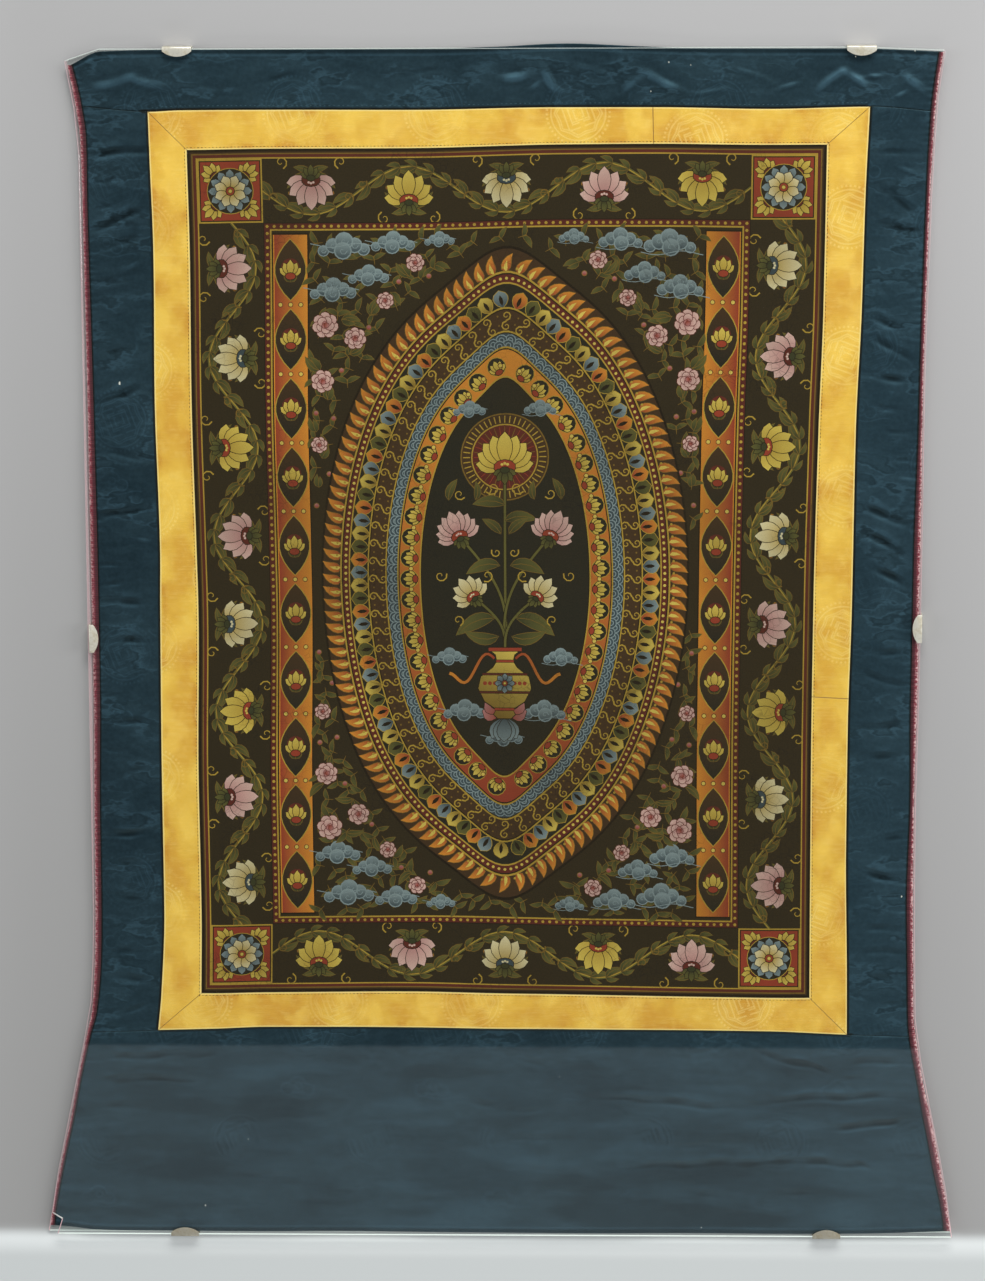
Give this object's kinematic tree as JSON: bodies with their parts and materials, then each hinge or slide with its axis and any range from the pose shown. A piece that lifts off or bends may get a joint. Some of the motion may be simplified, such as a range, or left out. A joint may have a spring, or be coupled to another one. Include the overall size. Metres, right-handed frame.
{
  "type": "thangka scroll painting in a clear clip frame",
  "caption": "Painted cloth scroll with yellow silk border and dark blue satin surround, pressed flat between two clear sheets held by half-round metal clips.",
  "frame": {"origin": "middle of the rectangle that the framed scroll covers on the surface it lies on, at the underside of the clips", "axes": "+X to the scroll's right as seen from the front, +Y towards its head, +Z out of the painted face"},
  "size_m": [0.7016, 0.918, 0.0116],
  "materials": {
    "paint": "matt mineral paint and fine gold line on a dark cotton ground",
    "silk_yellow": "yellow damask silk with a soft sheen",
    "satin_blue": "dark blue damask satin, glossy along the folds",
    "cotton_red": "dark red ribbed cotton with a paler fold line",
    "clear_sheet": "polished clear acrylic, faintly green at its cut edges",
    "clip_steel": "plated spring steel, slightly scratched"
  },
  "bodies": {
    "root": {"painting": "paint", "border_left": "silk_yellow", "border_right_lower": "silk_yellow", "border_right_upper": "silk_yellow", "border_bottom": "silk_yellow", "border_top_left": "silk_yellow", "border_top_right": "silk_yellow", "surround_top": "satin_blue", "surround_left": "satin_blue", "surround_right": "satin_blue", "surround_bottom": "satin_blue", "binding_left": "cotton_red", "binding_right": "cotton_red", "clip_top_left": "clip_steel", "clip_top_right": "clip_steel", "clip_left": "clip_steel", "clip_right": "clip_steel", "clip_bottom_left": "clip_steel", "clip_bottom_right": "clip_steel", "sheet_back": "clear_sheet", "sheet_front": "clear_sheet"}
  },
  "joints": []
}
